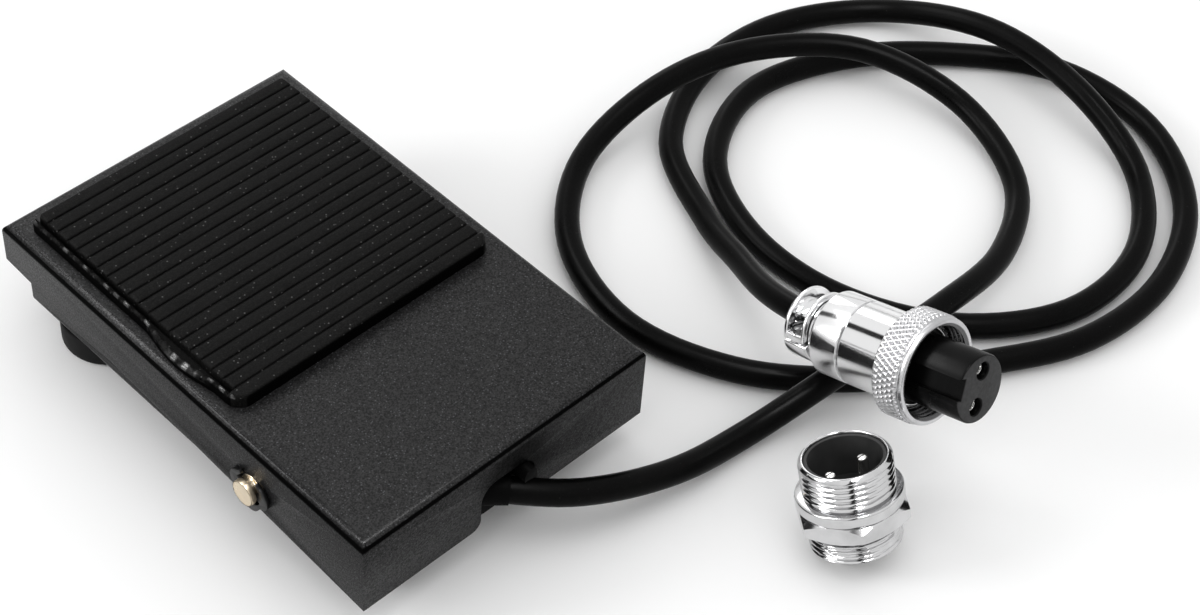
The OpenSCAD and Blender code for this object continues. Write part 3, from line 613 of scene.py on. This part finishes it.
def soften(node, width, segs=2, angle=35.0):
    """Small rounded edges and smooth faces on a node, by modifiers only."""
    o = NODES[node]
    w = o.modifiers.new("weld", "WELD")
    w.merge_threshold = 2e-6
    if width:
        b = o.modifiers.new("bevel", "BEVEL")
        b.width = width * MM
        b.segments = segs
        b.limit_method = "ANGLE"
        b.angle_limit = math.radians(angle)
        b.use_clamp_overlap = True
    o.modifiers.new("shade", "NODES").node_group = shade
    return o


MADE_NEW = {"cord", "return_springs", "plug_contacts", "tread_pad", "pivot_pin", "retaining_clips", "plug_rear_shell", "cable_saddle", "saddle_screws", "plug_shell", "coupling_ring",
            "plug_insert", "socket_shell", "socket_nut", "socket_insert", "socket_pins"}
EDGE = {"cover": 0.22, "base_pan": 0.22, "rubber_feet": 0.35, "cord_gland": 0.25,
        "switch_case": 0.25, "switch_side_cover": 0.2}
for sub in frame["record"]["subparts"]:
    if sub["node"] in MADE_NEW:
        continue
    o = NODES[sub["node"]]
    o.data.materials.clear()
    o.data.materials.append(MATS[sub["material_slot"]])
    soften(sub["node"], EDGE.get(sub["node"], 0.1 if sub["node"] != "inner_leads" else 0))


# ------------------------------------------------------------------ tread pad
def saw(x):
    """1 on whole numbers, 0 halfway between them."""
    return abs((x % 1.0) - 0.5) * 2


def pad_mesh():
    half, y0, y1, z0, sheet_top, top = 28.3, -12.95, 43.05, 22.8, 23.75, 25.6
    count = 20
    pitch = (y1 - y0) / count
    hw = (pitch - 0.36) / 2
    ys = []
    for i in range(count):
        c = y0 + (i + 0.5) * pitch
        for d, f in ((-hw - 0.05, 0.8), (-hw, 0.9), (-hw + 0.07, 0.96), (-hw + 0.2, 0.99), (-hw + 0.4, 1.0), (0.0, 1.0),
                     (hw - 0.5, 1.0), (hw - 0.3, 0.985), (hw - 0.12, 0.95), (hw, 0.9), (hw + 0.05, 0.8)):
            ys.append((c + d, f, i))
    ys[0] = (y0, 0.0, 0)
    ys[1] = (y0 + 0.02, 0.74, 0)
    ys[2] = (y0 + 0.1, 0.89, 0)
    ys[3] = (y0 + 0.26, 0.97, 0)
    ys[4] = (y0 + 0.5, 1.0, 0)
    ys.append((y1, 0.0, count - 1))
    xs = [-28.3, -28.28, -28.24, -28.16, -28.05, -27.92, -27.8, -27.72, -27.66, -27.6, -27.3, -27.0, -26.92, -26.86, -26.8, -26.72, -26.6, -26.4, -26.1,
          -25.6, -23, -18, -12, -6, 0, 6, 12, 18, 23, 26.0, 26.6, 27.0, 27.15, 27.28, 27.38, 27.45, 27.49, 27.53, 27.8, 28.1, 28.22, 28.28, 28.3]

    def fall(u, end, r):
        if u <= end - r:
            return 1.0
        if u >= end:
            return 0.0
        k = (u - end + r) / r
        return 0.45 + 0.55 * math.sqrt(max(0.0, 1 - k * k))

    def rim(x, y):
        """A narrow upright rim along the left edge, dipping at each groove, with a notch between it and the rib ends."""
        if x > -27.63:
            return 0.0
        k = min(1.0, abs((-x - 27.97) / 0.34))
        t = ((y - y0) / pitch + 0.5) % 1.0 - 0.5
        dip = 1 - 0.3 * math.exp(-((t * pitch / 0.45) ** 2))
        return 1.62 * dip * (0.4 + 0.6 * math.sqrt(max(0.0, 1 - k ** 3)))

    bm = bmesh.new()
    rows = []
    for y, f, i in ys:
        row = []
        for x in xs:
            u = abs(x)
            if i == 0:
                g = fall(u, 28.31, 1.0)
            else:
                g = fall(u, 26.83 if x < 0 else 27.52, 0.45)
            z = max(sheet_top + rim(x, y), sheet_top + (top - sheet_top) * f * g)
            if f == 0.0:
                z = sheet_top - 0.1
            wide = half
            d = y - y0
            if d < 3.0:
                wide = half - 3.0 + math.sqrt(max(0.0, 9.0 - (3.0 - d) ** 2))
            d = y1 - y
            if d < 1.0:
                wide = min(wide, half - 1.0 + math.sqrt(max(0.0, 1.0 - (1.0 - d) ** 2)))
            out = x * wide / half
            # the rim has crept outwards along part of the left edge
            if x < -27.0 and -7.5 < y < 11.5:
                swell = math.sin(math.pi * (y + 7.5) / 19.0) ** 1.3
                k = (-x - 27.0) / 1.3
                out -= 1.25 * swell * k
                z -= 0.72 * swell * k * max(0.0, z - sheet_top)
            row.append((out, y, z))
        rows.append(row)
    foot = 0.02
    rows = [[(x, y, z0 + foot) for x, y, z in rows[0]]] + rows + [[(x, y, z0 + foot) for x, y, z in rows[-1]]]
    rows = [[(r[0][0], r[0][1], z0 + foot)] + r + [(r[-1][0], r[-1][1], z0 + foot)] for r in rows]
    grid(bm, rows)
    bmesh.ops.remove_doubles(bm, verts=bm.verts, dist=1e-7)
    rim_edges = [e for e in bm.edges if len(e.link_faces) == 1]
    bmesh.ops.holes_fill(bm, edges=rim_edges, sides=0)
    return bm


piece("tread_pad_ribbed", pad_mesh(), "pedal", M_PAD, ["tread_pad"], sharp_deg=42.0)


# ------------------------------------------------------------------ cross pin
shaft = turned([(-33.7, 0.0), (-33.7, 2.46), (-32.6, 2.46), (-32.6, 1.93), (-31.6, 1.93), (-31.6, 2.49), (31.6, 2.49), (31.6, 1.93),
                (32.6, 1.93), (32.6, 2.46), (33.7, 2.46), (33.7, 0.0)], 64, 0.14)
piece("cross_pin", shaft, "base", M_BRASS, ["pivot_pin"],
      Matrix.Translation(Vector((0, -20, 13.1)) * MM) @ Matrix.Rotation(math.radians(90), 4, "Y"))


# ------------------------------------------------------------------ shapes shared by the plug and the socket
def turned_rows(bm, rows, n):
    pts = []
    for s, r in rows:
        ring = []
        for k in range(n):
            t = 2 * math.pi * k / n
            rr = r(t, s) if callable(r) else r
            ring.append((rr * math.cos(t), rr * math.sin(t), s))
        pts.append(ring)
    grid(bm, pts, close_u=True, close_v=True)


def thread(big, deep, pitch, s0, s1):
    """Radius of a right-hand outside thread that runs out at both ends."""
    def r(t, s):
        v = saw(s / pitch - t / (2 * math.pi))
        v = min(1.0, max(0.0, (v - 0.12) / 0.72))
        k = max(0.0, min(1.0, (s - s0) / (0.5 * pitch), (s1 - s) / (0.5 * pitch)))
        return big - deep * (1 - v) * k
    return r


def steps(a, b, d):
    n = max(1, round(abs(b - a) / d))
    return [a + (b - a) * i / n for i in range(n + 1)]


def arc(r, a0, a1, n):
    return [(r * math.cos(math.radians(a0 + (a1 - a0) * i / n)), r * math.sin(math.radians(a0 + (a1 - a0) * i / n))) for i in range(n + 1)]


def prism(poly, z0, z1, bev=0.2, segs=2, limit=30.0):
    bm = bmesh.new()
    lo = [bm.verts.new(Vector((x, y, z0)) * MM) for x, y in poly]
    hi = [bm.verts.new(Vector((x, y, z1)) * MM) for x, y in poly]
    bm.faces.new(lo[::-1])
    bm.faces.new(hi)
    n = len(poly)
    for i in range(n):
        bm.faces.new((lo[i], lo[(i + 1) % n], hi[(i + 1) % n], hi[i]))
    bmesh.ops.recalc_face_normals(bm, faces=bm.faces)
    sharp = [e for e in bm.edges if e.calc_face_angle(0.0) > math.radians(limit)]
    bmesh.ops.bevel(bm, geom=sharp, offset=bev * MM, segments=segs, affect="EDGES", profile=0.5, clamp_overlap=True)
    return bm


def shrink(poly, d):
    """The outline moved inwards by d; it runs anticlockwise."""
    out = []
    n = len(poly)
    for i in range(n):
        a, b, c = Vector(poly[i - 1]), Vector(poly[i]), Vector(poly[(i + 1) % n])
        e, f = (b - a).normalized(), (c - b).normalized()
        p, q = Vector((-e.y, e.x)), Vector((-f.y, f.x))
        m = p + q
        out.append(tuple(b + m * (d / max(0.5, m.dot(p)))))
    return out


def holed_prism(outline, holes, z0, z1, edge=0.3, hole_edge=0.22, hole_z=0.0):
    """A block with a rounded upper edge and round holes sunk into it."""
    bm = bmesh.new()

    def flat(poly, z):
        return [(x, y, z) for x, y in poly]

    walls = grid(bm, [flat(outline, z0), flat(outline, z1 - edge), flat(shrink(outline, edge * 0.3), z1 - edge * 0.3),
                      flat(shrink(outline, edge), z1)], close_v=True)
    bm.faces.new(walls[0][::-1])
    loops = [walls[-1]]
    for hx, hy, hr in holes:
        ring = [(hx + x, hy + y) for x, y in arc(hr, 0, 360, 40)[:-1]]
        wide = [(hx + x, hy + y) for x, y in arc(hr + hole_edge, 0, 360, 40)[:-1]]
        h = grid(bm, [flat(wide, z1), flat(ring, z1 - hole_edge), flat(ring, hole_z)], close_v=True)
        bm.faces.new(h[-1])
        loops.append(h[0])
    edges = []
    for lp in loops:
        for a, b in zip(lp, lp[1:] + lp[:1]):
            edges.append(bm.edges.get((a, b)))
    bmesh.ops.triangle_fill(bm, use_beauty=True, use_dissolve=False, edges=edges)
    return bm


def d_rows(bm, levels, gap, side, n=14):
    """Half of a round bar beside a slot, as stacked D outlines with both ends closed."""
    rows = []
    for z, r in levels:
        a = math.degrees(math.acos(min(0.999, gap / r)))
        pts = arc(r, -a, a, n)
        rows.append([(side * x, y, z) for x, y in pts])
    v = grid(bm, rows, close_v=True)
    bm.faces.new(v[0])
    bm.faces.new(v[-1])


def join(bm, other, place=None):
    """Adds another mesh, moved by place, and frees it."""
    if place is not None:
        bmesh.ops.transform(other, matrix=place, verts=other.verts)
    me = bpy.data.meshes.new("joining")
    other.to_mesh(me)
    other.free()
    bm.from_mesh(me)
    bpy.data.meshes.remove(me)


# ------------------------------------------------------------------ clips on the cross pin
def clip_outline():
    """Outline in (x, y) with the open side at +y and broad lobes at -x, +x and -y."""
    def lobe(a):
        d = min(abs((a - c + 180) % 360 - 180) for c in (0, 180, 270))
        return 0.5 + 0.5 * math.cos(math.pi * min(1.0, d / 45.0))
    outer = [(3.75 + 1.05 * lobe(a) ** 0.6, a) for a in range(-238, 59, 4)]
    inner = [(2.98 - 0.98 * (1 if lobe(a) > 0.62 else 0), a) for a in range(54, -235, -4)]
    return [(r * math.cos(math.radians(a)), r * math.sin(math.radians(a))) for r, a in outer + inner]


clips = bmesh.new()
for s in (-1, 1):
    turn = Matrix(((0, 0, 1, 0), (1, 0, 0, 0), (0, 1, 0, 0), (0, 0, 0, 1)))
    join(clips, prism(clip_outline(), -0.39, 0.39, 0.12, 2, 25.0), Matrix.Translation(Vector((s * 32.05, -20, 13.1)) * MM) @ turn)
piece("snap_clips", clips, "base", M_CLIP, ["retaining_clips"])

# ------------------------------------------------------------------ plug
rear = turned([(6.4, 2.6), (6.4, 6.75), (7.25, 7.6), (12.88, 7.6), (12.88, 6.62), (7.6, 6.62), (7.6, 2.6)], 128, 0.12)
join(rear, turned([(4.9, 2.5), (4.9, 5.3), (6.8, 5.3), (6.8, 2.5)], 96, 0.1))
join(rear, prism(arc(6.4, -87.3, 87.3, 36) + arc(2.47, 83, -83, 20), 0.0, 5.0, 0.32, 3))
plug_rear = piece("plug_rear_clamp", rear, "base", M_CHROME, ["plug_rear_shell"], PLUG)

cap = arc(6.4, 93.2, 266.8, 40) + arc(2.46, 262, 98, 20)
mid = [(-0.35, 6.3), (-1.5, 6.2), (-1.5, 2.75)] + arc(4.3, 140, 220, 16) + [(-1.5, -2.75), (-1.5, -6.2), (-0.35, -6.3), (-0.35, -2.45)] + arc(2.46, 262, 98, 20) + [(-0.35, 2.45)]
strap = prism(cap, 0.2, 0.95, 0.22, 3)
join(strap, prism(mid, 0.9, 4.1, 0.1, 2))
join(strap, prism(cap, 4.05, 4.7, 0.22, 3))
plug_strap = piece("cable_strap", strap, "base", M_CHROME, ["cable_saddle"], PLUG)

heads = bmesh.new()
for s in (-1, 1):
    one = turned([(-2.2, 0.0), (-2.2, 0.85), (0.0, 0.85), (0.0, 1.45), (0.62, 1.45), (0.62, 0.0)], 40, 0.06)
    for side in (-1, 1):
        d_rows(one, [(0.6, 1.45), (0.82, 1.41), (1.02, 1.27), (1.15, 1.02), (1.2, 0.75)], 0.22, side)
    join(heads, one, Matrix.Translation(Vector((-1.5, s * 4.3, 2.5)) * MM) @ Matrix.Rotation(math.radians(-90), 4, "Y") @ Matrix.Rotation(math.radians(35 * s), 4, "Z"))
plug_screws = piece("strap_screws", heads, "base", M_RING, ["saddle_screws"], PLUG)

front = turned([(8.9, 5.62), (8.9, 6.5), (12.9, 6.5), (12.9, 7.2), (13.45, 7.2), (13.45, 7.6), (24.3, 7.6), (24.3, 7.75), (25.7, 7.75),
                (25.7, 6.84), (18.0, 6.84), (18.0, 5.62)], 128, 0.1)
plug_front = piece("plug_barrel", front, "base", M_CHROME, ["plug_shell"], PLUG)

N_KNURL, P_KNURL, K0, K1 = 56, 2.0, 22.75, 27.75


def knurl(t, s):
    """Rows of small sunk diamonds, each row set half a step from the next."""
    a, b = N_KNURL * t / (2 * math.pi) + (s - K0) / P_KNURL, N_KNURL * t / (2 * math.pi) - (s - K0) / P_KNURL
    h = min(1.0, 1.45 * max(saw(a), saw(b)) - 0.1)
    k = max(0.0, min(1.0, (s - K0) / 0.2, (K1 - s) / 0.2))
    return 9.8 - 0.4 * (1 - h) * k - 0.35 * (1 - k)


def ring_thread(t, s):
    v = saw(s / 1.0 - t / (2 * math.pi))
    return 8.1 + 0.32 * min(1.0, max(0.0, (v - 0.15) / 0.7))


rows = [(22.4, 7.68), (22.4, 9.05), (22.46, 9.22), (22.6, 9.36)]
rows += [(s, knurl) for s in steps(K0 - 0.05, K1 + 0.05, 0.1325)]
rows += [(27.98, 9.36), (28.06, 9.46), (28.2, 9.54), (28.4, 9.56), (28.8, 9.54), (29.05, 9.44), (29.18, 9.26), (29.2, 9.1)]
rows += [(29.2, 8.8), (29.16, 8.72), (28.85, 8.44)]
rows += [(s, ring_thread) for s in steps(28.75, 24.4, 0.125)]
rows += [(24.2, 8.1), (24.1, 8.05), (24.1, 7.68)]
knob = bmesh.new()
turned_rows(knob, rows, N_KNURL * 8)
plug_ring = piece("knurled_ring", knob, "ring", M_RING, ["coupling_ring"], PLUG, sharp_deg=50.0)

NOSE = 6.13
key = [(4.65, 1.75), (4.65, -1.75)]
kt = math.radians(240)
notch = [(x * math.cos(kt) - y * math.sin(kt), x * math.sin(kt) + y * math.cos(kt)) for x, y in key]
ka = math.degrees(math.asin(1.75 / NOSE))
outline = arc(NOSE, 240 + ka, 600 - ka, 110) + [notch[1], notch[0]]
ct = math.radians(155)
holes = [(s * 3.2 * math.cos(ct), s * 3.2 * math.sin(ct), 1.52) for s in (-1, 1)]
core = holed_prism(outline, holes, 18.0, 38.0, 0.42, 0.25, 26.5)
join(core, turned([(18.0, 5.0), (18.0, 6.8), (25.7, 6.8), (25.7, 4.4)], 110, 0.12))
plug_core = piece("plug_core", core, "base", M_INSERT, ["plug_insert"], PLUG)

tubes = bmesh.new()
for hx, hy, hr in holes:
    one = turned([(13.0, 0.0), (13.0, 1.1), (18.0, 1.1), (18.0, 1.2), (36.7, 1.2), (36.9, 1.1), (36.9, 0.82), (36.6, 0.72), (28.0, 0.72), (28.0, 0.0)], 40, 0.05)
    join(tubes, one, Matrix.Translation(Vector((hx, hy, 0)) * MM))
plug_tubes = piece("pin_sockets", tubes, "base", M_TIN, ["plug_contacts"], PLUG)

# ------------------------------------------------------------------ panel socket
low, high = thread(8.0, 0.52, 1.05, 0.45, 8.35), thread(8.0, 0.55, 1.05, 11.0, 16.5)
rows = [(0.0, 7.03), (0.0, 7.35), (0.06, 7.5), (0.25, 7.66), (0.5, 7.92)]
rows += [(s, low) for s in steps(0.55, 8.2, 0.13)]
rows += [(8.3, 8.0), (8.3, 8.98), (8.36, 9.12), (8.52, 9.23), (8.75, 9.25), (10.05, 9.25), (10.28, 9.23), (10.44, 9.12), (10.5, 8.98)]
rows += [(10.5, 8.0), (10.56, 7.72), (10.72, 7.56), (10.95, 7.55)]
rows += [(s, high) for s in steps(11.05, 16.3, 0.13)]
rows += [(16.45, 7.9), (16.8, 7.56), (16.95, 7.4), (17.0, 7.26), (16.97, 7.15), (16.85, 7.05), (16.6, 7.03), (13.0, 7.03), (9.0, 7.03), (4.0, 7.03)]
shell = bmesh.new()
turned_rows(shell, rows, 160)
sock_shell = piece("socket_threaded_shell", shell, "socket", M_SOCKET, ["socket_shell"], SOCK, sharp_deg=50.0)

AF = 9.0


def hex_r(t):
    return AF / math.cos(((t + math.pi / 6) % (math.pi / 3)) - math.pi / 6)


def nut_rows():
    n = 180
    face = 9.05
    rows = []
    for kind in range(8):
        ring = []
        for k in range(n):
            t = 2 * math.pi * k / n
            h = hex_r(t) - 0.02
            drop = max(0.0, h - face) * math.tan(math.radians(30))
            r, z = ((8.06, 5.35), (8.4, 5.0), (min(face, h) - 0.04, 5.0), (h, 5.06 + drop), (h, 8.14 - drop), (min(face, h) - 0.04, 8.2), (8.4, 8.2), (8.06, 7.85))[kind]
            ring.append((r * math.cos(t), r * math.sin(t), z))
        rows.append(ring)
    return rows


hexnut = bmesh.new()
grid(hexnut, nut_rows(), close_u=True, close_v=True)
sock_nut = piece("panel_nut", hexnut, "nut", M_SOCKET, ["socket_nut"], SOCK, sharp_deg=28.0)

disc = arc(6.4, 0, 360, 128)[:-1]
cup = holed_prism(disc, [(0, s * 3.5, 1.03) for s in (-1, 1)], 0.5, 9.0, 0.05, 0.2, 8.2)
join(cup, turned([(0.4, 6.35), (0.4, 6.98), (16.6, 6.98), (16.6, 6.35)], 128, 0.15))
sock_core = piece("socket_core", cup, "socket", M_CUP, ["socket_insert"], SOCK)

TAIL = 7 * math.tan(math.radians(SOCK_LEAN)) - 0.02
prongs = bmesh.new()
for s in (-1, 1):
    one = turned([(1.4 - TAIL, 0.0), (1.4 - TAIL, 1.0), (12.0, 1.0), (12.0, 0.0)], 40, 0.03)
    for side in (-1, 1):
        d_rows(one, [(11.98, 1.0), (14.3, 1.0), (14.58, 0.97), (14.8, 0.88), (14.93, 0.74), (14.985, 0.58), (15.0, 0.4)], 0.15, side)
    join(one, prism(arc(1.0, -135, 135, 24) + arc(0.62, 135, -135, 20), -TAIL, 1.5 - TAIL, 0.05, 1))
    join(prongs, one, Matrix.Translation(Vector((0, s * 3.5, 0)) * MM))
sock_pins = piece("socket_prongs", prongs, "socket", M_TIN, ["socket_pins"], SOCK)

# ------------------------------------------------------------------ return springs, with closed end turns
def coil_height(t):
    """Height along a spring of six turns: the first and last turn lie close, the four between are open."""
    low, high, lay, turns = 8.25, 21.05, 1.06, 6
    open_rise = (high - low - 2 * lay) / (turns - 2)
    if t < 1:
        return low + lay * t
    if t > turns - 1:
        return high - lay * (turns - t)
    return low + lay + open_rise * (t - 1)


springs = bmesh.new()
for side in (-14.0, 14.0):
    turn_steps = 28
    path = [Vector((side + 4.0 * math.cos(2 * math.pi * k / turn_steps), 20.0 + 4.0 * math.sin(2 * math.pi * k / turn_steps), coil_height(k / turn_steps)))
            for k in range(6 * turn_steps + 1)]
    rings = []
    for k, q in enumerate(path):
        t = (path[min(k + 1, len(path) - 1)] - path[max(k - 1, 0)]).normalized()
        a = t.cross(Vector((0, 0, 1))).normalized()
        b = a.cross(t)
        rings.append([tuple(q + 0.5 * (math.cos(2 * math.pi * j / 12) * a + math.sin(2 * math.pi * j / 12) * b)) for j in range(12)])
    v = grid(springs, rings, close_v=True)
    springs.faces.new(v[0])
    springs.faces.new(v[-1])
coils = piece("coil_springs", springs, "base", M_SPRING, ["return_springs"], sharp_deg=50.0)
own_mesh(coils)
